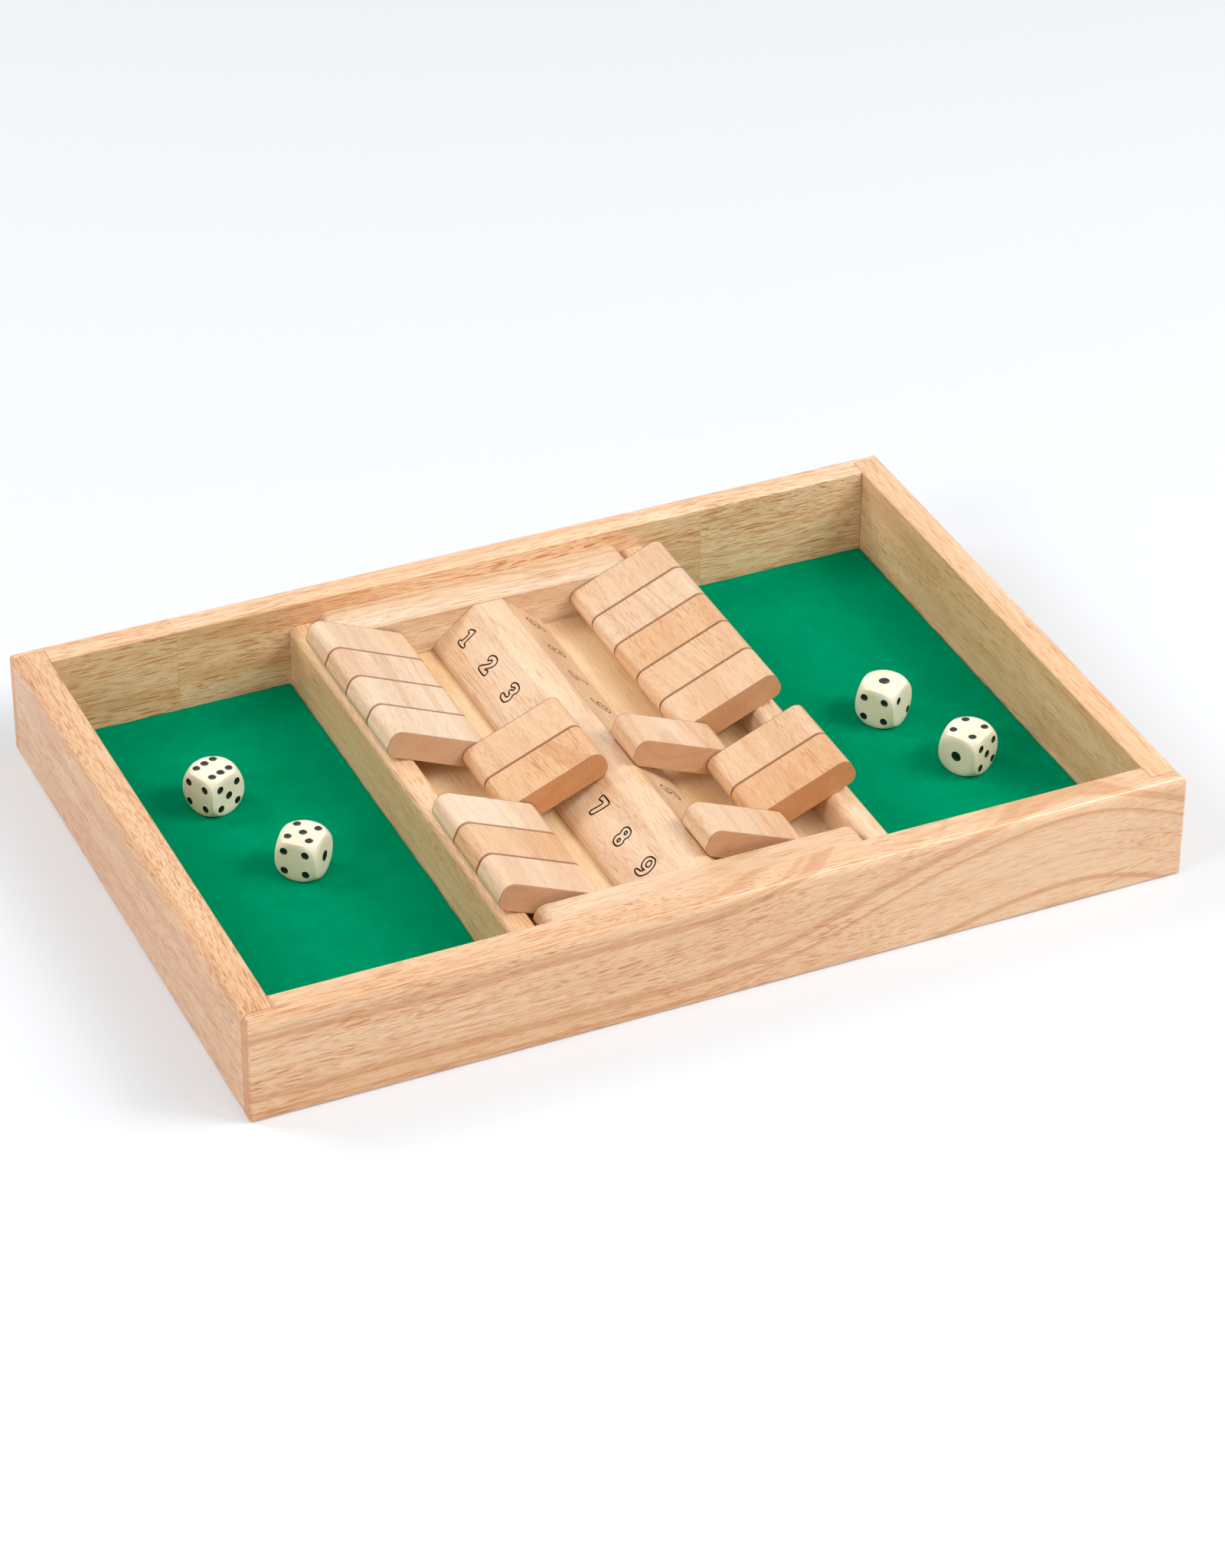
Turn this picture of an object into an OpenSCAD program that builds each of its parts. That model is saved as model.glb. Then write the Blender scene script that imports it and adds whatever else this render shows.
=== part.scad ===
// Two-sided shut the box game: a shallow wooden tray with a felted dice bay at each end.
// Between the bays a raised deck carries two banks of nine hinged tiles, either side of a
// sloped number ridge. Lengths are in millimetres. X runs along the tray's length, Y towards
// its back wall and Z up, from the middle of the tray's underside.

/* [Tray] */
// Outside length of the tray
tray_l = 350; // [330:1:420]
// Outside depth of the tray; each bank's tiles share the room that this leaves them
tray_d = 242; // [225:1:270]
// Height of the tray walls
tray_h = 41.5; // [40:0.5:60]
// Thickness of the walls
wall_t = 12; // [10:0.5:16]
// Thickness of the lips that cover the side walls' ends at the corners
lip_t = 4.8; // [3:0.2:7]
// Rounding along the rim's outer edge
rim_r = 4; // [2:0.5:5]
// Rounding along the rim's inner edge
mouth_r = 1; // [0.5:0.25:2]
// Rounding of the corners and of the outer bottom edge
edge_r = 1.5; // [0.5:0.5:3]

/* [Floor and felt] */
// Thickness of the plywood floor panel
floor_t = 4; // [3:0.5:6]
// Height of the floor panel's underside above the table
floor_z = 3; // [2:0.5:5]
// Depth of the groove in the walls that holds the floor panel
groove_depth = 4; // [2:0.5:6]
// Thickness of the felt
felt_t = 1; // [0.5:0.5:2]

/* [Deck and rails] */
// Width of the deck board between the two rails
deck_w = 123; // [118:1:135]
// Thickness of the deck board
deck_t = 12; // [8:1:15]
// Width of each rail
rail_w = 10; // [8:0.5:14]
// Height of the rails above the deck
rail_rise = 13; // [11:0.5:16]
// Rounding along the rails' top edges
rail_r = 3; // [1:0.5:3.5]

/* [End blocks and ridge] */
// Height of the end blocks and of the ridge above the deck
block_h = 16; // [14:0.5:19]
// Depth of each end block, out from the wall
block_d = 17.5; // [15:0.5:24]
// Rounding of the end blocks' upper corners
block_r = 5; // [2:0.5:6]
// Gap between an end block and each rail
block_gap = 0.7; // [0.3:0.1:2]
// Width of the ridge's flat top
ridge_top_w = 11.4; // [8:0.2:14]
// Width of the ridge on the deck
ridge_base_w = 43.6; // [38:0.2:48]
// Height of the ridge's upright foot
ridge_foot_h = 2.2; // [2:0.2:4]
// Rounding where the ridge's slopes meet its foot
ridge_foot_r = 2.5; // [0.5:0.5:3]
// Rounding where the ridge's slopes meet its top
ridge_crease_r = 1.6; // [0.4:0.2:2]

/* [Pivot rods] */
// Distance between the two pivot rods
rod_spacing = 77.2; // [75:0.2:80]
// Diameter of the rods
rod_d = 4; // [3:0.5:5]
// Depth of the rods' seats in the end blocks
seat_depth = 12; // [6:1:14]
// Radial clearance of a rod in its seat
seat_clear = 0.02; // [0.01:0.01:0.05]
// Radial clearance of a rod in a tile's bore
bore_clear = 0.08; // [0.05:0.01:0.1]

/* [Tiles] */
// Thickness of a tile
tile_t = 10.4; // [9:0.2:11]
// Length of a tile from its rod to its free end
tile_reach = 35.5; // [33:0.5:38]
// Length of a tile from its rod to its hinged end
tile_tail = 4.8; // [4.2:0.2:6]
// Rounding of a tile's long edges at both ends
tile_r = 4; // [1:0.5:4]
// Gap between neighbouring tiles
tile_gap = 0.5; // [0.2:0.1:0.6]
// Free room between the last tile of a bank and each end block
bank_play = 1.75; // [0.5:0.05:3]
// How far towards the back wall each bank has slid, as a share of that room
left_slide = 0.4; // [0:0.1:0.8]
right_slide = 0.7; // [0:0.1:0.8]

/* [Dice] */
// Side of a die
die_s = 16; // [14:0.5:18]
// How much narrower than the die the round flat on each face is
die_soft = 1.5; // [1:0.25:3]
// Diameter of a pip
pip_d = 2.7; // [2:0.1:3]
// Diameter of the single pip on the face of one
one_pip_d = 3.6; // [2.5:0.1:4.5]
// Depth of a pip
pip_depth = 0.5; // [0.3:0.1:0.8]

/* [Hidden] */
$fn = 96;
// Clearances
glue_gap = 0.05;
fit_gap = 0.3;
rest_gap = 0.15;
die_lift = 0.1;
pip_margin = 0.1;
over = 1;

// Which tiles lie shut, from number 1 to number 9; the others lie open
left_shut = [false, false, false, false, true, true, false, false, false];
right_shut = [true, false, false, true, false, false, false, false, false];
tile_count = len(left_shut);

// Inside of the tray, room between the end blocks, and a tile's share of it
inner_l = tray_l - 2 * wall_t;
inner_d = tray_d - 2 * wall_t;
block_room = inner_d - 2 * block_d;
pitch = (block_room - 2 * bank_play + tile_gap) / tile_count;
tile_w = pitch - tile_gap;

// Levels
floor_top = floor_z + floor_t;
felt_top = floor_top + felt_t;
deck_top = floor_top + deck_t;
rail_top = deck_top + rail_rise;
block_top = deck_top + block_h;
rod_z = deck_top + block_h / 2;

// Places across the middle
rail_in = deck_w / 2;
rail_out = rail_in + rail_w;
rod_x = rod_spacing / 2;
bay_l = inner_l / 2 - rail_out;
bay_x = rail_out + bay_l / 2;

// Slope of the ridge, and the centres of the roundings that the tiles rest on
ridge_slope = atan2(block_h - ridge_foot_h, (ridge_base_w - ridge_top_w) / 2);
crease = [ridge_top_w / 2 - ridge_crease_r * tan(ridge_slope / 2), block_top - ridge_crease_r];
shoulder = [rail_in + rail_r, rail_top - rail_r];

// How far a tile lifts above level when it leans on a rounding of radius r about p
function lean(p, r) = let (dx = abs(p[0] - rod_x), dz = p[1] - rod_z)
    atan2(dz, dx) + asin((tile_t / 2 + r + rest_gap) / norm([dx, dz]));
open_lean = lean(shoulder, rail_r);
shut_lean = lean(crease, ridge_crease_r);
swing = 180 - open_lean - shut_lean;

// Die: the ball that rounds it, and its pips
die_ball_r = norm([die_s / 2, (die_s - die_soft) / 2]);
pip_off = ((die_s - die_soft - pip_d) / 2 - pip_margin) / sqrt(2);
// Each die: its place from the middle of its bay, its turn, and its top, left and right faces
left_back_die_lie = [[-8.1, 45.5], -66.5, [6, 4, 5]];
left_front_die_lie = [[6.9, -4.4], -44.9, [5, 4, 1]];
right_back_die_lie = [[0.6, -0.7], -52.9, [1, 4, 2]];
right_front_die_lie = [[14.6, -40.5], -60, [4, 1, 5]];

ply_tint = "#d9bd86";
wall_tint = "#c98f55";
wood_tint = "#d8a96c";
felt_tint = "#0d8a5c";
steel_tint = "#b9bcc0";
ivory_tint = "#efe8cf";

function unit(v) = v / norm(v);
function ways(pts, i) = let (n = len(pts))
    [unit(pts[(i + n - 1) % n] - pts[i]), unit(pts[(i + 1) % n] - pts[i])];
function half_angle(w) = acos(w[0] * w[1]) / 2;

// Convex outline whose corners are rounded, each to its own radius
module rounded_outline(pts, radii) {
    intersection() {
        polygon(pts);
        union() {
            polygon([for (i = [0 : len(pts) - 1], w = ways(pts, i))
                pts[i] + w * radii[i] / tan(half_angle(ways(pts, i)))]);
            for (i = [0 : len(pts) - 1]) if (radii[i] > 0) {
                w = ways(pts, i);
                translate(pts[i] + unit(w[0] + w[1]) * radii[i] / sin(half_angle(w))) circle(radii[i]);
            }
        }
    }
}

// Outline of size w by h standing on the level line, centred, with upper and lower corner radii
module upright_outline(w, h, top_r, foot_r) {
    rounded_outline([[-w / 2, 0], [w / 2, 0], [w / 2, h], [-w / 2, h]], [foot_r, foot_r, top_r, top_r]);
}

// Extrudes an outline drawn in X and Z along Y, to both sides
module along_y(length) {
    rotate([90, 0, 0]) linear_extrude(length, center = true) children();
}

// Extrudes an outline drawn in Y and Z along X, to both sides
module along_x(length) {
    rotate([90, 0, 90]) linear_extrude(length, center = true) children();
}

// The whole tray as one block with its outer edges rounded
module tray_block() {
    intersection() {
        along_y(tray_d) upright_outline(tray_l, tray_h, rim_r, edge_r);
        along_x(tray_l) upright_outline(tray_d, tray_h, rim_r, edge_r);
        translate([0, 0, -over]) linear_extrude(tray_h + 2 * over) translate([0, -tray_d / 2])
            upright_outline(tray_l, tray_d, edge_r, edge_r);
    }
}

// What a rounding takes off a square edge at the origin, whose faces run towards -X and -Y
module edge_waste(r) {
    difference() {
        translate([-r, -r]) square(r + over);
        translate([-r, -r]) circle(r);
    }
}

// Rounding of the rim's inner edges along X and along Y, longer than the mouth by more at each end
module mouth_waste_x(more) {
    for (side = [0, 1]) mirror([0, side, 0])
        translate([0, inner_d / 2, tray_h]) along_x(inner_l + 2 * more) mirror([1, 0]) edge_waste(mouth_r);
}

module mouth_waste_y(more) {
    for (side = [0, 1]) mirror([side, 0, 0])
        translate([inner_l / 2, 0, tray_h]) along_y(inner_d + 2 * more) mirror([1, 0]) edge_waste(mouth_r);
}

// Rounding of the rim's inner edge, all round, mitred at the corners
module mouth_waste() {
    mouth_waste_x(0);
    mouth_waste_y(0);
    intersection() {
        mouth_waste_x(mouth_r);
        mouth_waste_y(mouth_r);
    }
}

// Groove that holds the floor panel
module floor_groove() {
    translate([-inner_l / 2 - groove_depth, -inner_d / 2 - groove_depth, floor_z])
        cube([inner_l + 2 * groove_depth, inner_d + 2 * groove_depth, floor_t]);
}

module front_wall() {
    color(wall_tint) difference() {
        intersection() {
            tray_block();
            translate([-tray_l / 2, -tray_d / 2, 0]) cube([tray_l, wall_t, tray_h]);
        }
        floor_groove();
        mouth_waste();
        for (side = [0, 1]) mirror([side, 0, 0])
            translate([inner_l / 2, lip_t - tray_d / 2, -over])
                cube([wall_t + over, wall_t, tray_h + 2 * over]);
    }
}

module back_wall() {
    mirror([0, 1, 0]) front_wall();
}

module left_wall() {
    length = tray_d - 2 * (lip_t + glue_gap);
    color(wall_tint) difference() {
        intersection() {
            tray_block();
            translate([-tray_l / 2, -length / 2, 0]) cube([wall_t - glue_gap, length, tray_h]);
        }
        floor_groove();
        mouth_waste();
    }
}

module right_wall() {
    mirror([1, 0, 0]) left_wall();
}

module floor_panel() {
    l = inner_l + 2 * (groove_depth - fit_gap);
    d = inner_d + 2 * (groove_depth - fit_gap);
    color(ply_tint) translate([-l / 2, -d / 2, floor_z + glue_gap]) cube([l, d, floor_t - glue_gap]);
}

// Felt of one bay, on the side that side gives as -1 or 1
module felt(side) {
    l = bay_l - 2 * fit_gap;
    d = inner_d - 2 * fit_gap;
    color(felt_tint) translate([side * bay_x - l / 2, -d / 2, floor_top]) cube([l, d, felt_t]);
}

module deck_board() {
    w = deck_w - 2 * glue_gap;
    d = inner_d - 2 * glue_gap;
    color(ply_tint) translate([-w / 2, -d / 2, floor_top]) cube([w, d, deck_t]);
}

module rail(side) {
    color(wood_tint) translate([side * (rail_in + rail_w / 2), 0, floor_top])
        along_y(inner_d - 2 * glue_gap) rounded_outline(
            [[-rail_w / 2, 0], [rail_w / 2, 0], [rail_w / 2, rail_top - floor_top],
             [-rail_w / 2, rail_top - floor_top]],
            [0, 0, rail_r, rail_r]);
}

module end_block(side) {
    w = deck_w - 2 * block_gap;
    color(wall_tint) difference() {
        translate([0, side * (inner_d / 2 - block_d / 2 - glue_gap / 2), deck_top])
            along_y(block_d - glue_gap) upright_outline(w, block_h, block_r, 0);
        for (x = [-rod_x, rod_x])
            translate([x, side * (block_room + seat_depth) / 2, rod_z])
                rotate([90, 0, 0]) cylinder(h = seat_depth + over, r = rod_d / 2 + seat_clear, center = true);
    }
}

module number_ridge() {
    half_top = ridge_top_w / 2;
    half_base = ridge_base_w / 2;
    color(wood_tint) translate([0, 0, deck_top]) along_y(block_room - 2 * glue_gap)
        rounded_outline(
            [[-half_base, 0], [half_base, 0], [half_base, ridge_foot_h], [half_top, block_h],
             [-half_top, block_h], [-half_base, ridge_foot_h]],
            [0, 0, ridge_foot_r, ridge_crease_r, ridge_crease_r, ridge_foot_r]);
}

module pivot_rod(side) {
    length = block_room + 2 * (seat_depth - rest_gap);
    color(steel_tint) translate([side * rod_x, 0, rod_z]) rotate([90, 0, 0])
        cylinder(h = length, r = rod_d / 2, center = true);
}

// A tile about its rod, reaching towards +X and lifted by lift degrees
module tile(lift) {
    color(wood_tint) rotate([0, -lift, 0]) difference() {
        along_y(tile_w) translate([(tile_reach - tile_tail) / 2, -tile_t / 2])
            upright_outline(tile_reach + tile_tail, tile_t, tile_r, tile_r);
        rotate([90, 0, 0]) cylinder(h = tile_w + 2 * over, r = rod_d / 2 + bore_clear, center = true);
    }
}

// Number 1 stands at the back of the left bank and at the front of the right bank
module left_tile(n) {
    translate([-rod_x, ((tile_count + 1) / 2 - n) * pitch + left_slide * bank_play, rod_z])
        tile(left_shut[n - 1] ? shut_lean : 180 - open_lean);
}

module right_tile(n) {
    translate([rod_x, (n - (tile_count + 1) / 2) * pitch + right_slide * bank_play, rod_z])
        tile(right_shut[n - 1] ? 180 - shut_lean : open_lean);
}

// Places of a face's pips, in units of their offset from its middle
function pips(n) = n == 1 ? [[0, 0]]
    : n == 2 ? [[-1, -1], [1, 1]]
    : n == 3 ? concat(pips(1), pips(2))
    : n == 4 ? concat(pips(2), [[-1, 1], [1, -1]])
    : n == 5 ? concat(pips(1), pips(4))
    : concat(pips(4), [[-1, 0], [1, 0]]);

// Hollows of the pips on the face towards +Z of a die about the origin
module face_waste(n) {
    rim = (n == 1 ? one_pip_d : pip_d) / 2;
    ball = (rim * rim + pip_depth * pip_depth) / (2 * pip_depth);
    for (p = pips(n)) translate([p[0] * pip_off, p[1] * pip_off, die_s / 2 + ball - pip_depth]) sphere(ball);
}

// A die on the felt of one bay; opposite faces add up to seven
module die(side, lie) {
    place = lie[0];
    faces = lie[2];
    color(ivory_tint) translate([side * bay_x + place[0], place[1], felt_top + die_lift + die_s / 2])
        rotate([0, 0, lie[1]]) difference() {
            intersection() {
                cube(die_s, center = true);
                sphere(die_ball_r);
            }
            face_waste(faces[0]);
            rotate([180, 0, 0]) face_waste(7 - faces[0]);
            rotate([90, 0, 0]) face_waste(faces[1]);
            rotate([-90, 0, 0]) face_waste(7 - faces[1]);
            rotate([0, 90, 0]) face_waste(faces[2]);
            rotate([0, -90, 0]) face_waste(7 - faces[2]);
        }
}

front_wall();
back_wall();
left_wall();
right_wall();
floor_panel();
felt(-1);  // left_felt
felt(1);  // right_felt
deck_board();
rail(-1);  // left_rail
rail(1);  // right_rail
end_block(1);  // back_end_block
end_block(-1);  // front_end_block
number_ridge();
pivot_rod(-1);  // left_pivot_rod
pivot_rod(1);  // right_pivot_rod
for (n = [1 : tile_count]) left_tile(n);
for (n = [1 : tile_count]) right_tile(n);
die(-1, left_back_die_lie);  // left_back_die
die(-1, left_front_die_lie);  // left_front_die
die(1, right_back_die_lie);  // right_back_die
die(1, right_front_die_lie);  // right_front_die
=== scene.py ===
import math
import random

import bmesh
import bpy
from mathutils import Euler, Matrix, Vector, noise


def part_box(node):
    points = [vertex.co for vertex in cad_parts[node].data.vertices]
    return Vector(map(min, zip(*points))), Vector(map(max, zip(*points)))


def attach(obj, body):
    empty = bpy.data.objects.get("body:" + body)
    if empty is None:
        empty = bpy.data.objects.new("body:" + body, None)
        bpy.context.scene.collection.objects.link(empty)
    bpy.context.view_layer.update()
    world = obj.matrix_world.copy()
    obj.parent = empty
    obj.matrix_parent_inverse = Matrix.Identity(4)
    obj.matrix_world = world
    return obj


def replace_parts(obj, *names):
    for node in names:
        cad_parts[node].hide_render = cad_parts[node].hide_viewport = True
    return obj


mm = 0.001
scene = bpy.context.scene
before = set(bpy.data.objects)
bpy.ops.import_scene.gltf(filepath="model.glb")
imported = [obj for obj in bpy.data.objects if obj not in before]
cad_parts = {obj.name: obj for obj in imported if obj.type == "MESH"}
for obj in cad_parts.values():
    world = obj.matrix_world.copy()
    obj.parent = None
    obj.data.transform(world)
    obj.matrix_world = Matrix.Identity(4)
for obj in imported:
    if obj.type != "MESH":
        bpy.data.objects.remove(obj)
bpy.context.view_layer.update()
print("Frame loaded:", len(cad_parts), "solids")


# Camera, found from the photograph; the picture is 1600 by 2048
camera = {
    "place": (-0.5937, -1.3360, 1.0184),
    "turn": (55.428, -0.209, -24.164),
    "lens": 113.94,
}


def placeCamera():
    eye = bpy.data.objects.new("photoCamera", bpy.data.cameras.new("photoCamera"))
    eye.data.lens = camera["lens"]
    eye.data.sensor_width = 36
    eye.data.clip_start, eye.data.clip_end = 0.1, 30
    eye.location = camera["place"]
    eye.rotation_euler = [math.radians(angle) for angle in camera["turn"]]
    scene.collection.objects.link(eye)
    scene.camera = eye


placeCamera()


def tone(red, green, blue):  # a screen colour, 0 to 255, as the shader wants it
    return tuple(
        part / 12.92 if part <= 0.04045 else ((part + 0.055) / 1.055) ** 2.4
        for part in (red / 255, green / 255, blue / 255)
    ) + (1.0,)


def lifted(colour, shares):  # the same colour, with each channel more or less by a share
    return tuple(part * (1 + share) for part, share in zip(colour, shares)) + (1.0,)


class Shade:  # a shader socket, so that shader maths reads as plain sums
    def __init__(self, tree, socket=None):
        self.tree = tree
        self.socket = socket

    def node(self, kind, settings=None, inputs=None, output=0):
        made = self.tree.nodes.new("ShaderNode" + kind)
        for name, value in (settings or {}).items():
            setattr(made, name, value)
        for name, value in (inputs or {}).items():
            if isinstance(value, Shade):
                self.tree.links.new(value.socket, made.inputs[name])
            else:
                made.inputs[name].default_value = value
        return Shade(self.tree, made.outputs[output] if made.outputs else None)

    def also(self, output):  # another output of the same node
        return Shade(self.tree, self.socket.node.outputs[output])

    def maths(self, operation, *terms):
        return self.node("Math", {"operation": operation}, dict(enumerate(terms)))

    def __add__(self, other):
        return self.maths("ADD", self, other)

    def __sub__(self, other):
        return self.maths("SUBTRACT", self, other)

    def __rsub__(self, other):
        return self.maths("SUBTRACT", other, self)

    def __mul__(self, other):
        return self.maths("MULTIPLY", self, other)

    def __truediv__(self, other):
        return self.maths("DIVIDE", self, other)

    def __abs__(self):
        return self.maths("ABSOLUTE", self)

    __radd__ = __add__
    __rmul__ = __mul__

    def most(self, other):
        return self.maths("MAXIMUM", self, other)

    def rise(self, low, high):  # 0 below low, 1 above high, smooth between them
        return self.node("MapRange", {"interpolation_type": "SMOOTHSTEP"},
                         {"Value": self, "From Min": low, "From Max": high})

    def vector(self, operation, *terms, output=0):
        return self.node("VectorMath", {"operation": operation}, dict(enumerate(terms)), output)

    def stretched(self, across, along):  # a point's place in cells of that size, grain on Z
        return self.vector("MULTIPLY", self, (1 / across, 1 / across, 1 / along))

    def cloud(self, detail=2.0, roughness=0.5, output=0):
        return self.node("TexNoise", {}, {"Vector": self, "Scale": 1.0, "Detail": detail,
                                         "Roughness": roughness}, output)

    def blended(self, first, second):  # from the first colour at 0 to the second at 1
        return self.node("Mix", {"data_type": "RGBA"}, {0: self, 6: first, 7: second}, 2)

    def tinted(self, share, colour):  # this colour, tinted by a share of another
        return share.blended(self, colour)

    def bump(self, strength, depth):
        return self.node("Bump", {}, {"Height": self, "Strength": strength, "Distance": depth})


def newFinish(name):
    finish = bpy.data.materials.new(name)
    finish.use_nodes = True
    finish.node_tree.nodes.clear()
    return finish, Shade(finish.node_tree)


def closeFinish(start, inputs):
    surface = start.node("BsdfPrincipled", {}, inputs)
    start.node("OutputMaterial", {}, {"Surface": surface})


# Wood: pale satin-lacquered rubberwood with short brown pores along the grain
wood = {
    "pale": tone(230, 197, 161),
    "warm": tone(221, 180, 140),
    "ring": tone(198, 146, 98),
    "pore": tone(186, 121, 66),
    "end": tone(190, 139, 98),
    # next: dark glue joints, and the painted shade in the gaps between tiles
    "jointAndGapShade": tone(120, 70, 36),
    "lacquer": 0.6,
    "lacquerRoughness": 0.12,
    "roughness": 0.40,
}
plywood = {
    "pale": tone(240, 211, 172),
    "warm": tone(234, 199, 152),
    "ring": tone(214, 168, 116),
    "pore": tone(188, 138, 90),
    "end": tone(190, 144, 98),
    "lacquer": 0.15,
    "lacquerRoughness": 0.12,
    "roughness": 0.40,
}

grained = {
    # Sizes across and along the grain, in millimetres
    "sway": (45, 190),
    "stain": (16, 120),
    "patch": (8, 60),
    "fibre": (0.30, 7),
    "dash": (0.62, 17),
    "fineDash": (0.36, 10),
    "longDash": (1.1, 24),
    "swayed": (22, 22, 0),  # how far the sway moves the grain
    "jump": (7.0, 11.0, 370.0),  # how far the grain moves on from one stave to the next
    "relief": 0.12 * mm,
    # Shares of one colour over another
    "fibreShare": 0.30,
    "endShare": 0.72,
    # next: how dark the painted shade in the gaps between tiles is
    "gapShadeShare": 0.9,
    "glueShare": 0.25,
    "seamShare": 0.4,
}


def woodFinish(node, grain, look=wood, seed=0, shade=(0, 0, 0), pores=1.0, rings=0.35,
               ringWidth=4.0, poreSize=1.0, pith=(12, 55), tilt=(0, 0), arch=None, staves=(),
               seams=None, paintedGapShade=False):
    chance = random.Random(seed)
    finish, start = newFinish(node + "_finish")
    place = start.node("TexCoord", {}, {}, "Object")
    facing = place.also("Normal")

    # Turn the grain onto Z and put the piece's middle beside the heart of its tree
    low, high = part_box(node)
    lean = [math.radians(angle) for angle in tilt]
    turn = Euler((lean[0], math.radians(-90) + lean[1], 0) if grain == "X"
                 else (math.radians(90) + lean[0], lean[1], 0))
    middle = (low + high) / 2 / mm
    middle.rotate(turn)
    shift = Vector((pith[0], pith[1], chance.uniform(-900, 900))) - middle
    spot = start.node("Mapping", {"vector_type": "POINT"}, {
        "Vector": place, "Location": shift, "Rotation": turn, "Scale": (1 / mm,) * 3})

    # Staves glued end to end: each one's grain starts somewhere else
    world = start.node("SeparateXYZ", {}, {0: place.vector("MULTIPLY", place, (1 / mm,) * 3)})
    glue = None
    if staves:
        step = None
        for joint in staves:
            past = world.maths("GREATER_THAN", world, joint)
            step = past if step is None else step + past
            line = 1 - abs(world - joint).rise(0.1, 0.5)
            glue = line if glue is None else glue.most(line)
        jump = start.node("CombineXYZ", {}, dict(enumerate(
            step * part for part in grained["jump"])))
        spot = spot.vector("ADD", spot, jump)

    sway = spot.stretched(*grained["sway"]).cloud(2.0, 0.5, 1)
    swayed = spot.vector("MULTIPLY_ADD", sway, grained["swayed"], spot)
    flat = swayed.vector("MULTIPLY", swayed, (1, 1, 0))
    radius = flat.vector("LENGTH", flat, output="Value")
    if arch:  # rings cut at a slant, which arch over a place along the board
        left, crown, right = arch["along"]
        hill = world.rise(left, crown) - world.rise(crown, right)
        radius = world.also("Z") - arch["height"] * hill + arch["deep"] * world.also("Y") + (
            sway * arch["sway"])
        pores = pores - arch["calm"] * hill
    ring = start.node("TexNoise", {"noise_dimensions": "1D"},
                      {"W": radius / ringWidth, "Scale": 1.0, "Detail": 2.0, "Roughness": 0.6})
    late = ring.rise(0.48, 0.66)
    stain = spot.stretched(*grained["stain"]).cloud(2.0, 0.5).rise(0.32, 0.68)
    if arch:
        stain = stain * (1 - arch["clear"] * hill)
    fibre = spot.stretched(*grained["fibre"]).cloud(3.0, 0.65)
    patch = spot.stretched(*grained["patch"]).cloud(2.0, 0.5).rise(0.36, 0.64)

    # Pores: short dashes along the grain, with some long dark ones
    cells = swayed.stretched(poreSize, poreSize)
    dashes = cells.stretched(*grained["dash"]).cloud(1.0, 0.5).rise(0.54, 0.68)
    fineDashes = cells.stretched(*grained["fineDash"]).cloud(1.0, 0.5).rise(0.50, 0.70)
    coarse = start.node("TexVoronoi", {}, {
        "Vector": cells.stretched(*grained["longDash"]), "Scale": 1.0, "Randomness": 1.0})
    longDashes = (1 - coarse.rise(0.08, 0.20)) * coarse.node(
        "SeparateColor", {}, {0: coarse.also("Color")}).rise(0.3, 0.8)
    pore = (dashes * (0.35 + 0.50 * patch)).most(fineDashes * 0.45).most(longDashes)

    grainAxis = (1, 0, 0) if grain == "X" else (0, 1, 0)
    cut = abs(facing.vector("DOT_PRODUCT", facing, grainAxis, output="Value")).rise(0.55, 0.9)

    colour = stain.blended(lifted(look["pale"], shade), lifted(look["warm"], shade))
    colour = colour.tinted(late * rings, lifted(look["ring"], shade))
    colour = colour.tinted(fibre.rise(0.35, 0.75) * grained["fibreShare"],
                           lifted(look["ring"], shade))
    colour = colour.tinted(cut * grained["endShare"], lifted(look["end"], shade))
    colour = colour.tinted(pore * (pores + 0.5 * cut), lifted(look["pore"], shade))
    if paintedGapShade:  # painted shade: the tiles' broad faces darken near their long sides, standing in for the shade in the gaps between tiles
        half = (high.y - low.y) / 2 / mm
        side = abs(world.also("Y") - (high.y + low.y) / 2 / mm).rise(half - 0.6, half - 0.15)
        colour = colour.tinted(side * (1 - cut) * grained["gapShadeShare"], look["jointAndGapShade"])
    if glue is not None:
        colour = colour.tinted(glue * grained["glueShare"], look["ring"])
    if seams:  # thin dark glue lines where the lips cover the side walls' ends
        across, deep = abs(world), abs(world.also("Y"))
        lip = (1 - abs(deep - seams["deep"]).rise(0.05, 0.30)) * across.rise(
            seams["across"] - 0.1, seams["across"] + 0.1)
        inner = (1 - abs(across - seams["across"]).rise(0.05, 0.30)) * (
            1 - deep.rise(seams["deep"], seams["deep"] + 0.1)) * deep.rise(
                seams["inside"] - 0.1, seams["inside"])
        colour = colour.tinted(lip.most(inner) * grained["seamShare"], look["jointAndGapShade"])

    relief = fibre * 0.5 - pore * 0.9
    closeFinish(start, {
        "Base Color": colour,
        "Roughness": look["roughness"] + 0.12 * fibre + 0.22 * cut,
        "Coat Weight": look["lacquer"] * (1 - 0.65 * cut),
        "Coat Roughness": look["lacquerRoughness"],
        "Normal": relief.bump(0.18, grained["relief"]),
    })
    return finish


def addPiece(name, work, finishes, body, crease=50):
    mesh = bpy.data.meshes.new(name)
    work.to_mesh(mesh)
    work.free()
    for stale in ("custom_normal", "sharp_face", "sharp_edge"):
        if stale in mesh.attributes:
            mesh.attributes.remove(mesh.attributes[stale])
    mesh.materials.clear()
    for finish in finishes:
        mesh.materials.append(finish)
    mesh.shade_smooth()
    mesh.set_sharp_from_angle(angle=math.radians(crease))
    piece = bpy.data.objects.new(name, mesh)
    scene.collection.objects.link(piece)
    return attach(piece, body)


easing = {
    "weld": 0.002 * mm,
    "flat": math.radians(1),  # faces nearer in angle than this become one
    "sharp": math.radians(35),  # edges sharper than this are eased
}


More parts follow.
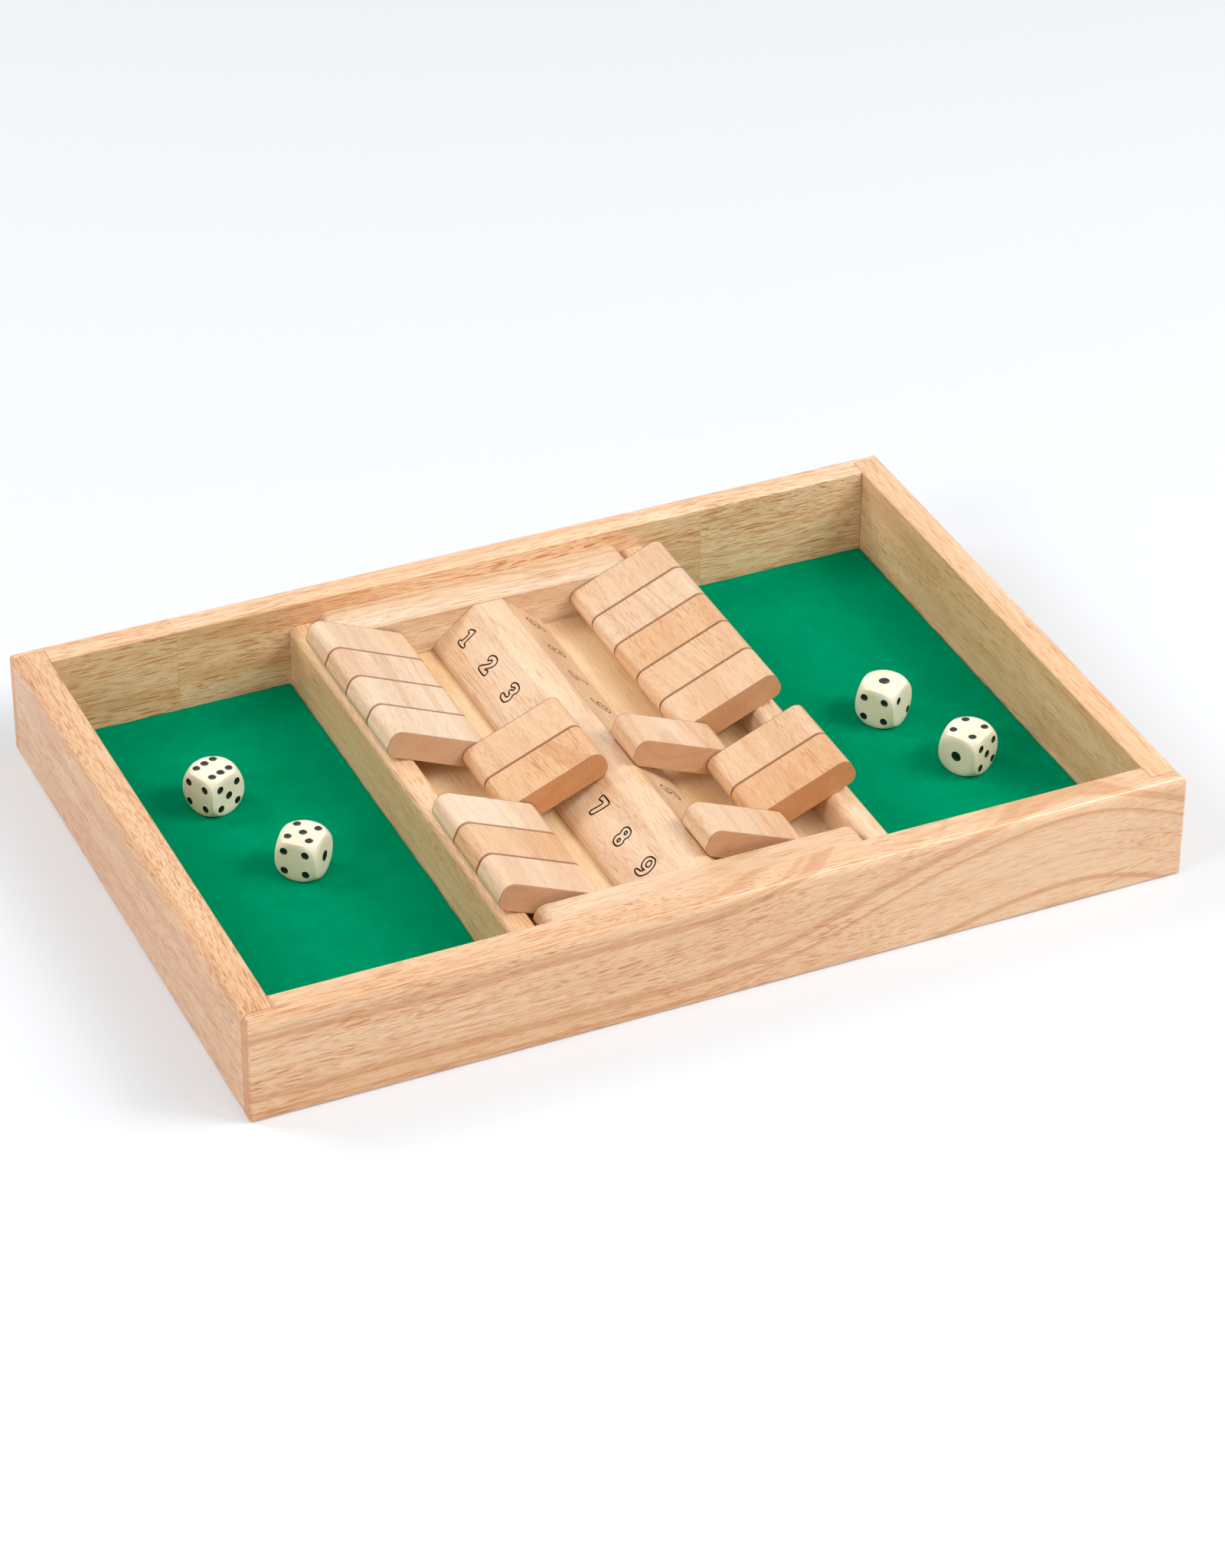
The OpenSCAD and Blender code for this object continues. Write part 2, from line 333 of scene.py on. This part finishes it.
def easedPiece(node, body, finish, ease):  # a wooden piece with its sharp edges eased
    work = bmesh.new()
    work.from_mesh(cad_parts[node].data)
    bmesh.ops.remove_doubles(work, verts=work.verts, dist=easing["weld"])
    bmesh.ops.dissolve_limit(work, angle_limit=easing["flat"], verts=work.verts, edges=work.edges)
    sharp = [edge for edge in work.edges
             if edge.is_manifold and edge.calc_face_angle() > easing["sharp"]]
    bmesh.ops.bevel(work, geom=sharp, offset=ease * mm, offset_type="OFFSET", affect="EDGES",
                    segments=2, profile=0.5, material=-1, clamp_overlap=True)
    for face in work.faces:
        face.material_index = 0
    piece = addPiece(node + "_wood", work, [finish], body)
    shading = piece.modifiers.new("flatFaces", "WEIGHTED_NORMAL")
    shading.keep_sharp = True
    shading.weight = 100
    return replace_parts(piece, node)


# Tray walls: each board has its own grain, and the back one is glued up from three staves
walls = {
    "ease": 0.12,
    "poreSize": 0.75,
    "front_wall": {
        "grain": "X", "seed": 3, "pith": (16, 30), "tilt": (0.8, 1.0), "rings": 0.75,
        "ringWidth": 6.0, "pores": 1.4, "shade": (0.0, -0.04, -0.08),
        "arch": {"along": (-19, 131, 236), "height": 34, "deep": 0.3, "sway": 9, "calm": 0.7,
                 "clear": 0.7}},
    "back_wall": {
        "grain": "X", "seed": 8, "pith": (9, 42), "tilt": (0.4, 0.6), "rings": 0.40,
        "ringWidth": 4.0, "pores": 1.9, "shade": (0.12, 0.14, 0.15), "staves": (-115, 95)},
    "left_wall": {
        "grain": "Y", "seed": 14, "pith": (26, 8), "tilt": (1.2, 0.5), "rings": 0.45,
        "pores": 1.8, "shade": (-0.05, -0.13, -0.24)},
    "right_wall": {
        "grain": "Y", "seed": 21, "pith": (30, -10), "tilt": (0.8, -0.6), "rings": 0.35,
        "ringWidth": 4.5, "pores": 1.2, "shade": (0.10, 0.09, 0.05)},
}
seams = {  # where the lips meet the side walls
    "across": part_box("right_wall")[0].x / mm,
    "deep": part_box("right_wall")[1].y / mm,
    "inside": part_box("back_end_block")[1].y / mm,
}
for wall in ("front_wall", "back_wall", "left_wall", "right_wall"):
    finish = woodFinish(wall, poreSize=walls["poreSize"], seams=seams, **walls[wall])
    easedPiece(wall, "tray", finish, walls["ease"])
print("Walls done")


# Rails, end blocks and number ridge
fittings = {
    "ease": 0.35,
    "poreSize": 0.75,
    "left_rail": {"grain": "Y", "seed": 31, "pith": (20, 30), "tilt": (0.6, 0.3), "rings": 0.25,
                  "pores": 1.0, "shade": (0.05, 0.04, 0.0)},
    "right_rail": {"grain": "Y", "seed": 36, "pith": (-24, 26), "tilt": (0.5, 0.4), "rings": 0.25,
                   "pores": 1.0, "shade": (0.12, 0.24, 0.38)},
    "back_end_block": {"grain": "X", "seed": 41, "pith": (14, 60), "tilt": (0.5, 0.6),
                       "rings": 0.45, "pores": 1.3, "shade": (0.03, 0.18, 0.34)},
    "front_end_block": {"grain": "X", "seed": 47, "pith": (40, 20), "tilt": (0.5, 0.6),
                        "rings": 0.20, "pores": 0.9, "shade": (0.0, 0.07, 0.14)},
    "number_ridge": {"grain": "Y", "seed": 52, "pith": (10, 48), "tilt": (0.8, 0.4),
                     "rings": 0.25, "pores": 0.8, "shade": (0.05, 0.11, 0.17)},
}
for fitting in ("left_rail", "right_rail", "back_end_block", "front_end_block", "number_ridge"):
    finish = woodFinish(fitting, poreSize=fittings["poreSize"], **fittings[fitting])
    easedPiece(fitting, "tray", finish, fittings["ease"])
print("Rails, end blocks and ridge done")


# Tiles, all cut from lengths of one moulding, so that their sides show the end grain
tiles = {
    "ease": 0.16,
    "poreSize": 0.55,
    # Paleness of each tile, from 1 to 9
    "left": (0.10, 0.10, 0.16, 0.16, -0.07, -0.16, 0.16, -0.11, 0.08),
    "right": (0.02, -0.18, -0.05, 0.05, -0.03, -0.06, -0.14, 0.10, 0.02),
}
for bank in ("left", "right"):
    for number, paleness in enumerate(tiles[bank], 1):
        tile = f"{bank}_tile_{number}"
        chance = random.Random(tile)
        # each tile gets painted shade along its long sides, for the gaps between tiles
        finish = woodFinish(
            tile, "Y", seed=tile, paintedGapShade=True,
            shade=(0.25 * paleness, paleness, 2 * paleness),
            pores=chance.uniform(0.6, 1.0) - 1.2 * paleness, rings=chance.uniform(0.2, 0.5),
            ringWidth=chance.uniform(2.5, 5.0), poreSize=tiles["poreSize"],
            pith=(chance.uniform(-40, 40), chance.uniform(20, 70)),
            tilt=(chance.uniform(-3, 3), chance.uniform(-3, 3)))
        easedPiece(tile, tile, finish, tiles["ease"])
print("Tiles done")


# Plywood floor and deck keep their solids
boards = {
    "shade": (0.17, 0.21, 0.22),
    "rings": 0.35,
    "pores": 0.5,
    "tilt": (0.4, 0.4),
    "floor_panel": {"grain": "X", "seed": 61, "pith": (40, 300), "ringWidth": 9.0},
    "deck_board": {"grain": "Y", "seed": 66, "pith": (30, 260), "ringWidth": 8.0},
}
for board in ("floor_panel", "deck_board"):
    finish = woodFinish(board, look=plywood, shade=boards["shade"], rings=boards["rings"],
                        pores=boards["pores"], tilt=boards["tilt"], **boards[board])
    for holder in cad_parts[board].material_slots:
        holder.material = finish


# Pivot rods: drawn steel
rods = {"steel": tone(186, 188, 192), "dull": tone(128, 126, 124), "roughness": 0.28}


def steelFinish():
    finish, start = newFinish("pivotRodSteel")
    place = start.node("TexCoord", {}, {}, "Object")
    drawn = place.vector("MULTIPLY", place, (5000, 60, 5000)).cloud(3.0, 0.6)
    patch = place.vector("MULTIPLY", place, (260, 90, 260)).cloud(3.0, 0.6).rise(0.45, 0.75)
    closeFinish(start, {
        "Base Color": (patch * 0.5).blended(rods["steel"], rods["dull"]),
        "Metallic": 1.0,
        "Roughness": rods["roughness"] + 0.15 * drawn + 0.12 * patch,
        "Normal": drawn.bump(0.15, 0.02 * mm),
    })
    return finish


steel = steelFinish()
for rod in ("left_pivot_rod", "right_pivot_rod"):
    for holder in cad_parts[rod].material_slots:
        holder.material = steel
print("Boards and rods done")


# Felt: one thin sheet laid in each bay
felt = {
    "colour": tone(0, 143, 98),
    "deep": tone(0, 122, 82),
    "fluff": tone(0, 158, 114),
    # Sizes of its patches, fibres, tangles and curls, in millimetres
    "patch": 9,
    "fibre": 0.35,
    "tangle": 1.1,
    "curl": 0.7,
    "nap": 0.3 * mm,
    "cell": 2.0 * mm,
    "ripple": 0.09 * mm,
    "longWave": 14 * mm,
    "shortWave": 4 * mm,
    "fray": 0.4 * mm,
    "frayWave": 5 * mm,
    "soft": 0.3 * mm,
    "crease": 75,
}


def feltFinish():
    finish, start = newFinish("greenFelt")
    place = start.node("TexCoord", {}, {}, "Object")
    spot = place.vector("MULTIPLY", place, (1 / mm,) * 3)
    mottle = spot.stretched(felt["patch"], felt["patch"]).cloud(3.0, 0.6).rise(0.3, 0.7)
    fibre = spot.stretched(felt["fibre"], felt["fibre"]).cloud(4.0, 0.75)
    tangle = spot.stretched(felt["tangle"], felt["tangle"]).cloud(3.0, 0.7)
    curl = spot.stretched(felt["curl"], felt["curl"]).cloud(2.0, 0.6, 1)
    curled = spot.vector("MULTIPLY_ADD", curl, (1.6, 1.6, 1.6), spot)
    hairs = start.node("TexVoronoi", {"feature": "DISTANCE_TO_EDGE"},
                       {"Vector": curled, "Scale": 1.1, "Randomness": 1.0})
    colour = (mottle * 0.4).blended(felt["colour"], felt["deep"])
    colour = colour.tinted(fibre.rise(0.42, 0.7) * 0.6, felt["deep"])
    colour = colour.tinted((1 - hairs.rise(0.0, 0.12)) * 0.30, felt["fluff"])
    closeFinish(start, {
        "Base Color": colour,
        "Roughness": 0.95,
        "Specular IOR Level": 0.0,
        "Normal": (fibre * 0.8 + tangle * 0.8).bump(0.5, felt["nap"]),
    })
    return finish


def layFelt(node, finish):
    low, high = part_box(node)
    width, length, thick = high - low
    work = bmesh.new()
    bmesh.ops.create_grid(work, x_segments=round(width / felt["cell"]),
                          y_segments=round(length / felt["cell"]), size=0.5)
    bmesh.ops.scale(work, vec=(width, length, 1), verts=work.verts)
    bmesh.ops.translate(work, vec=((low.x + high.x) / 2, (low.y + high.y) / 2, high.z),
                        verts=work.verts)
    centre = (low + high) / 2
    border = {vert for edge in work.edges if edge.is_boundary for vert in edge.verts}
    for vert in work.verts:
        wave = noise.noise(vert.co / felt["longWave"]) * 0.6 + (
            noise.noise(vert.co / felt["shortWave"]) * 0.4)
        vert.co.z -= felt["ripple"] * (0.5 + 0.5 * wave)
        if vert in border:  # the cut edge wanders a little
            bite = felt["fray"] * (0.5 + 0.5 * noise.noise(vert.co / felt["frayWave"]))
            if abs(abs(vert.co.x - centre.x) - width / 2) < 0.01 * mm:
                vert.co.x -= math.copysign(bite, vert.co.x - centre.x)
            if abs(abs(vert.co.y - centre.y) - length / 2) < 0.01 * mm:
                vert.co.y -= math.copysign(bite, vert.co.y - centre.y)
    bmesh.ops.recalc_face_normals(work, faces=work.faces)
    work.faces.ensure_lookup_table()
    if work.faces[0].normal.z < 0:
        bmesh.ops.reverse_faces(work, faces=work.faces)
    bmesh.ops.solidify(work, geom=list(work.faces), thickness=thick - felt["ripple"])
    bmesh.ops.recalc_face_normals(work, faces=work.faces)
    rim = [edge for edge in work.edges if edge.is_manifold
           and edge.calc_face_angle() > math.radians(60)
           and edge.verts[0].co.z > centre.z]
    bmesh.ops.bevel(work, geom=rim, offset=felt["soft"], offset_type="OFFSET", affect="EDGES",
                    segments=2, profile=0.5, material=-1, clamp_overlap=True)
    sheet = addPiece(node + "_cloth", work, [finish], "tray", crease=felt["crease"])
    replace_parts(sheet, node)


greenFelt = feltFinish()
layFelt("left_felt", greenFelt)
layFelt("right_felt", greenFelt)
print("Felt laid")


# Numbers: outlines burnt into the ridge's slopes, to be read from each bay
numbers = {
    "flatten": 0.2,
    "sink": 0.02,
    "slope": 40.6,  # in degrees
    "shoulder": 5.7,  # from the ridge's middle to where its slope starts
    "crease": 80,
    "burnt": tone(34, 20, 10),
    "singed": tone(62, 37, 20),
    "left": {"turn": -1, "down": 9.3, "first": 80.2, "step": -19.76, "line": 0.39},
    "right": {"turn": 1, "down": 12.4, "first": -77.6, "step": 19.9, "line": 0.31},
}
numberShapes = {  # the points of each outline, right and up, in millimetres
    1: [[(-2.5, -3.9), (2.5, -3.9), (2.6, -2.5), (1.3, -2.3), (0.9, -2.1), (1.1, 3.7), (0.9, 3.9),
         (-0.1, 3.9), (-2.0, 3.1), (-2.4, 2.2), (-1.9, 1.6), (-0.8, 1.8), (-0.9, -2.2),
         (-2.5, -2.5)]],
    2: [[(-2.8, -3.9), (2.6, -3.9), (3.0, -3.1), (2.6, -1.6), (1.8, -1.5), (-0.2, -2.3),
         (1.6, -0.6), (2.8, 1.2), (2.9, 2.8), (1.8, 3.9), (-0.1, 4.2), (-1.9, 3.6), (-3.0, 2.4),
         (-2.3, 1.0), (-1.5, 1.0), (-1.0, 2.0), (0.2, 2.2), (0.4, 0.9), (-1.3, -0.8),
         (-2.8, -2.1), (-3.3, -2.9)]],
    3: [[(-2.1, -3.8), (0.4, -4.2), (2.1, -3.6), (3.0, -1.9), (2.8, -0.4), (2.2, 0.4), (3.1, 1.5),
         (3.2, 3.0), (2.0, 4.0), (0.0, 4.3), (-1.8, 3.8), (-2.6, 2.7), (-2.1, 1.8), (-1.0, 1.8),
         (0.0, 2.6), (0.8, 2.4), (0.7, 1.5), (-0.9, 0.9), (-0.7, -0.3), (0.6, -0.4), (1.1, -1.5),
         (0.2, -2.2), (-1.8, -1.8), (-2.8, -2.0), (-2.9, -3.0)]],
    4: [[(0.1, 4.1), (1.8, 4.1), (1.9, 3.8), (1.9, -0.3), (2.9, -0.3), (3.1, -0.6), (3.1, -1.7),
         (2.9, -2.0), (1.9, -2.0), (1.9, -3.7), (1.6, -3.9), (0.3, -3.9), (0.0, -3.6),
         (0.0, -2.0), (-2.9, -2.0), (-3.2, -1.6), (-3.2, -0.7), (-0.4, 3.9)],
        [(0.1, 1.9), (0.1, -0.4), (-1.5, -0.4)]],
    5: [[(-2.2, 4.0), (2.2, 4.0), (2.5, 3.7), (2.5, 2.5), (2.2, 2.2), (-0.7, 2.2), (-0.9, 1.2),
         (0.4, 1.5), (2.0, 0.9), (2.9, -0.4), (2.9, -2.0), (1.8, -3.5), (0.1, -4.1), (-1.8, -3.7),
         (-2.8, -2.8), (-2.7, -1.9), (-1.9, -1.6), (-1.0, -2.1), (-0.2, -2.4), (0.8, -2.0),
         (1.0, -1.1), (0.5, -0.3), (-0.4, -0.1), (-1.2, -0.5), (-2.4, -0.4), (-2.6, 0.0)]],
    7: [[(-1.6, -3.9), (-0.6, -4.0), (0.4, -3.8), (2.9, 2.6), (2.8, 3.8), (1.8, 4.0),
         (-2.4, 4.0), (-2.9, 3.4), (-2.9, 2.0), (-2.4, 1.6), (-1.2, 2.1), (0.6, 2.1),
         (-1.8, -3.1)]],
    8: [[(0.0, 3.9), (1.5, 3.7), (2.5, 2.6), (2.5, 1.2), (1.8, 0.1), (2.5, -0.9), (2.6, -2.3),
         (1.7, -3.5), (0.0, -3.9), (-1.7, -3.5), (-2.6, -2.3), (-2.5, -0.9), (-1.8, 0.1),
         (-2.5, 1.2), (-2.5, 2.6), (-1.5, 3.7)],
        [(0.7, 1.8), (0.5, 2.3), (0.0, 2.5), (-0.5, 2.3), (-0.7, 1.8), (-0.5, 1.3), (0.0, 1.1),
         (0.5, 1.3)],
        [(0.7, -1.7), (0.5, -1.2), (0.0, -1.0), (-0.5, -1.2), (-0.7, -1.7), (-0.5, -2.2),
         (0.0, -2.4), (0.5, -2.2)]],
    9: [[(-2.2, -4.1), (-0.3, -4.1), (1.3, -3.5), (2.8, -1.5), (3.1, 0.6), (2.7, 2.7), (1.6, 4.0),
         (0.0, 4.3), (-2.3, 3.5), (-3.2, 1.9), (-3.0, 0.2), (-2.1, -1.0), (-0.6, -1.4),
         (0.6, -0.7), (0.1, -1.8), (-0.6, -2.4), (-2.0, -2.5), (-3.0, -2.9), (-3.2, -3.6)],
        [(-0.4, 2.8), (0.6, 2.8), (1.3, 1.5), (0.9, 0.5), (-0.3, 0.1), (-1.2, 0.9),
         (-1.2, 2.1)]],
}
numberShapes[6] = [[(-x, -y) for x, y in line] for line in numberShapes[9]]


def burntFinish():
    finish, start = newFinish("burntLine")
    place = start.node("TexCoord", {}, {}, "Object")
    char = place.vector("MULTIPLY", place, (1400, 1400, 1400)).cloud(3.0, 0.6)
    closeFinish(start, {
        "Base Color": char.rise(0.4, 0.8).blended(numbers["burnt"], numbers["singed"]),
        "Roughness": 0.7 + 0.2 * char,
        "Specular IOR Level": 0.1,
        "Normal": char.bump(0.2, 0.05 * mm),
    })
    return finish


def burnNumbers(side, finish):
    row = numbers[side]
    drawing = bpy.data.curves.new(side + "_numbers", "CURVE")
    drawing.dimensions = "3D"
    drawing.resolution_u = 4
    drawing.bevel_depth = row["line"] * mm
    drawing.bevel_resolution = 1
    for number, lines in numberShapes.items():
        along = row["turn"] * (row["first"] + row["step"] * (number - 1))
        for line in lines:
            spline = drawing.splines.new("NURBS")
            spline.points.add(len(line) - 1)
            for point, (x, y) in zip(spline.points, line):
                point.co = ((along + x) * mm, y * mm, 0, 1)
            spline.order_u = 3
            spline.use_cyclic_u = True
    sketch = bpy.data.objects.new(side + "_sketch", drawing)
    scene.collection.objects.link(sketch)
    mesh = bpy.data.meshes.new_from_object(sketch)
    bpy.data.objects.remove(sketch)

    slope = math.radians(numbers["slope"])
    outward = row["turn"]  # -1 on the left slope, 1 on the right one
    right = Vector((0, outward, 0))
    up = Vector((-outward * math.cos(slope), 0, math.sin(slope)))
    out = right.cross(up)
    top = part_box("number_ridge")[1].z
    middle = Vector((outward * numbers["shoulder"] * mm, 0, top)) - up * row["down"] * mm
    middle -= out * numbers["sink"] * mm
    lay = Matrix((right, up, out)).transposed().to_4x4()
    lay.translation = middle
    mesh.transform(lay @ Matrix.Diagonal((1, 1, numbers["flatten"], 1)))
    work = bmesh.new()
    work.from_mesh(mesh)
    bmesh.ops.remove_doubles(work, verts=work.verts, dist=0.001 * mm)
    bmesh.ops.recalc_face_normals(work, faces=work.faces)
    addPiece(side + "_numbers", work, [finish], "tray", crease=numbers["crease"])


burnt = burntFinish()
burnNumbers("left", burnt)
burnNumbers("right", burnt)
print("Numbers burnt")


# Dice: soft ivory cubes with sunk black pips; faces are the top one, then the two seen sides
dice = {
    "side": 16.0,
    "ball": 11.15,
    "soften": 1.3,
    "cuts": 29,
    "pipRim": 1.5,
    "onePipRim": 2.0,
    "pipDepth": 0.5,
    "pipOffset": 4.1,
    "capRise": 0.4,  # how far the cutters stand out of the face
    "crease": 32,
    "ivory": tone(232, 225, 203),
    "cloudy": tone(225, 215, 186),
    "ink": tone(14, 14, 15),
    "wornInk": tone(30, 29, 28),
    "left_back_die": {"turn": -66.5, "faces": (6, 4, 5)},
    "left_front_die": {"turn": -44.9, "faces": (5, 4, 1)},
    "right_back_die": {"turn": -52.9, "faces": (1, 4, 2)},
    "right_front_die": {"turn": -60.0, "faces": (4, 1, 5)},
}


def ivoryFinish():
    finish, start = newFinish("ivoryPlastic")
    place = start.node("TexCoord", {}, {}, "Object")
    cloudy = place.vector("MULTIPLY", place, (90, 90, 90)).cloud(3.0, 0.55)
    rubbed = place.vector("MULTIPLY", place, (700, 700, 700)).cloud(3.0, 0.6)
    closeFinish(start, {
        "Base Color": cloudy.rise(0.35, 0.7).blended(dice["ivory"], dice["cloudy"]),
        "Roughness": 0.30 + 0.12 * rubbed,
        "Coat Weight": 0.25,
        "Coat Roughness": 0.12,
        "Normal": rubbed.bump(0.05, 0.05 * mm),
    })
    return finish


def inkFinish():
    finish, start = newFinish("pipInk")
    place = start.node("TexCoord", {}, {}, "Object")
    brushed = place.vector("MULTIPLY", place, (1600, 1600, 1600)).cloud(2.0, 0.5)
    closeFinish(start, {
        "Base Color": brushed.rise(0.4, 0.8).blended(dice["ink"], dice["wornInk"]),
        "Roughness": 0.12 + 0.10 * brushed,
        "Normal": brushed.bump(0.06, 0.05 * mm),
    })
    return finish


def pipPlaces(count):
    places = [(0, 0)] if count % 2 else []
    if count > 1:
        places += [(-1, -1), (1, 1)]
    if count > 3:
        places += [(-1, 1), (1, -1)]
    if count == 6:
        places += [(-1, 0), (1, 0)]
    return places


def softLeast(a, b, width):  # the smaller of two lengths, rounded off where they are close
    share = min(1.0, max(0.0, 0.5 + 0.5 * (b - a) / width))
    return b + (a - b) * share - width * share * (1 - share)


def addPipCap(drill, rim, place):  # the bottom of a ball, which sinks one pip
    depth = dice["pipDepth"] * mm
    ball = (rim * rim + depth * depth) / (2 * depth)
    cap = bmesh.new()
    bmesh.ops.create_uvsphere(cap, u_segments=32, v_segments=40, radius=ball,
                              matrix=Matrix.Translation((0, 0, ball - depth)))
    bmesh.ops.bisect_plane(cap, geom=cap.verts[:] + cap.edges[:] + cap.faces[:],
                           plane_co=(0, 0, dice["capRise"] * mm), plane_no=(0, 0, 1),
                           clear_outer=True)
    bmesh.ops.holes_fill(cap, edges=[edge for edge in cap.edges if edge.is_boundary], sides=0)
    bmesh.ops.transform(cap, matrix=place, verts=cap.verts)
    mesh = bpy.data.meshes.new("pipCap")
    cap.to_mesh(mesh)
    cap.free()
    drill.from_mesh(mesh)
    bpy.data.meshes.remove(mesh)


def makeDie(node, finishes):
    low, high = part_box(node)
    half = dice["side"] / 2 * mm
    work = bmesh.new()
    bmesh.ops.create_cube(work, size=2 * half)
    bmesh.ops.subdivide_edges(work, edges=list(work.edges), cuts=dice["cuts"], use_grid_fill=True)
    for vert in work.verts:
        way = vert.co.normalized()
        flat = half / max(abs(part) for part in way)
        vert.co = way * softLeast(flat, dice["ball"] * mm, dice["soften"] * mm)
    blank = addPiece(node + "_blank", work, finishes, node)

    top, left, right = dice[node]["faces"]
    quarter = math.pi / 2
    turns = {  # each face's count and the turn that brings the top face there
        top: Matrix.Identity(4),
        7 - top: Matrix.Rotation(math.pi, 4, "X"),
        left: Matrix.Rotation(quarter, 4, "X"),
        7 - left: Matrix.Rotation(-quarter, 4, "X"),
        right: Matrix.Rotation(quarter, 4, "Y"),
        7 - right: Matrix.Rotation(-quarter, 4, "Y"),
    }
    drill = bmesh.new()
    offset = dice["pipOffset"] * mm
    for count, turn in turns.items():
        rim = dice["onePipRim"] if count == 1 else dice["pipRim"]
        for x, y in pipPlaces(count):
            spot = Matrix.Translation((x * offset, y * offset, half))
            addPipCap(drill, rim * mm, turn @ spot)
    cutter = addPiece(node + "_drill", drill, [finishes[1]], node)
    drilled = blank.modifiers.new("pips", "BOOLEAN")
    drilled.operation, drilled.solver, drilled.object = "DIFFERENCE", "EXACT", cutter
    drilled.material_mode = "TRANSFER"
    bpy.context.view_layer.update()
    cut = bpy.data.meshes.new_from_object(
        blank.evaluated_get(bpy.context.evaluated_depsgraph_get()))
    cut.transform(Matrix.Translation((low + high) / 2)
                  @ Matrix.Rotation(math.radians(dice[node]["turn"]), 4, "Z"))
    bpy.data.objects.remove(blank)
    bpy.data.objects.remove(cutter)
    cut.name = node + "_ivory"
    cut.shade_smooth()
    cut.set_sharp_from_angle(angle=math.radians(dice["crease"]))
    die = bpy.data.objects.new(node + "_ivory", cut)
    scene.collection.objects.link(die)
    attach(die, node)
    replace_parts(die, node)


diceFinishes = [ivoryFinish(), inkFinish()]
for die in ("left_back_die", "left_front_die", "right_back_die", "right_front_die"):
    makeDie(die, diceFinishes)
print("Dice done")


# Studio: white floor and backdrop, with the key light from the right
studio = {
    "room": 0.38,
    "floor": tone(223, 226, 230),
    "floorPale": tone(228, 230, 234),
    "backdrop": tone(251, 252, 253),
    "glow": 0.15,  # how far the floor near the game is whitened for the camera
    "far": (0.8, 2.6),  # distances in metres over which it turns into the backdrop
    "reach": 6,
    "lamps": {
        "overhead": {"place": (0.9, -0.1, 1.9), "size": (0.7, 0.7), "power": 3},
        "key": {"place": (1.5, -0.9, 1.5), "size": (1.0, 1.0), "power": 29},
        "front": {"place": (-0.7, -1.7, 1.3), "size": (1.0, 1.0), "power": 3},
        "sheen": {"place": (0.8, -1.3, 1.7), "size": (1.6, 0.18), "power": 12},
        "left": {"place": (-1.7, -0.5, 1.1), "size": (0.8, 0.8), "power": 12.5},
        "back": {"place": (-1.2, 1.0, 1.4), "size": (0.8, 0.8), "power": 15},
        "gloss": {"place": (0.5, 2.1, 1.3), "size": (1.0, 1.0), "power": 1.6},
    },
}


def lightStudio():
    room = bpy.data.worlds.new("whiteRoom")
    room.use_nodes = True
    room.node_tree.nodes.clear()
    scene.world = room
    start = Shade(room.node_tree)
    path = start.node("LightPath", {}, {}, "Is Camera Ray")
    seen = path.most(path.also("Is Glossy Ray")).most(path.also("Is Transmission Ray"))
    light = start.node("Background", {}, {"Color": (1, 1, 1, 1), "Strength": studio["room"]})
    white = start.node("Background", {}, {"Color": studio["backdrop"], "Strength": 1.0})
    both = start.node("MixShader", {}, {0: seen, 1: light, 2: white})
    start.node("OutputWorld", {}, {"Surface": both})

    for name, lamp in studio["lamps"].items():
        data = bpy.data.lights.new(name, "AREA")
        data.shape, data.energy = "RECTANGLE", lamp["power"]
        data.size, data.size_y = lamp["size"]
        box = bpy.data.objects.new(name, data)
        box.location = lamp["place"]
        box.rotation_euler = Vector(lamp["place"]).to_track_quat("Z", "Y").to_euler()
        scene.collection.objects.link(box)


def layFloor():
    finish, start = newFinish("paleFloor")
    place = start.node("TexCoord", {}, {}, "Object")
    faint = place.vector("MULTIPLY", place, (3, 3, 3)).cloud(2.0, 0.5)
    paper = start.node("BsdfPrincipled", {}, {
        "Base Color": (faint * 0.1).blended(studio["floor"], studio["floorPale"]),
        "Roughness": 0.8,
        "Specular IOR Level": 0.1,
    })
    seen = start.node("LightPath", {}, {}, "Is Camera Ray")
    away = place.vector("LENGTH", place, output="Value").rise(*studio["far"])
    glow = start.node("Emission", {}, {"Color": studio["backdrop"], "Strength": 1.0})
    both = start.node("MixShader", {}, {
        0: seen * (studio["glow"] + (1 - studio["glow"]) * away), 1: paper, 2: glow})
    start.node("OutputMaterial", {}, {"Surface": both})
    work = bmesh.new()
    bmesh.ops.create_grid(work, x_segments=1, y_segments=1, size=studio["reach"])
    mesh = bpy.data.meshes.new("studioFloor")
    work.to_mesh(mesh)
    work.free()
    mesh.materials.append(finish)
    floor = bpy.data.objects.new("studioFloor", mesh)
    scene.collection.objects.link(floor)


lightStudio()
layFloor()
scene.view_settings.view_transform = "Standard"
print("Studio lit")

bpy.context.view_layer.update()
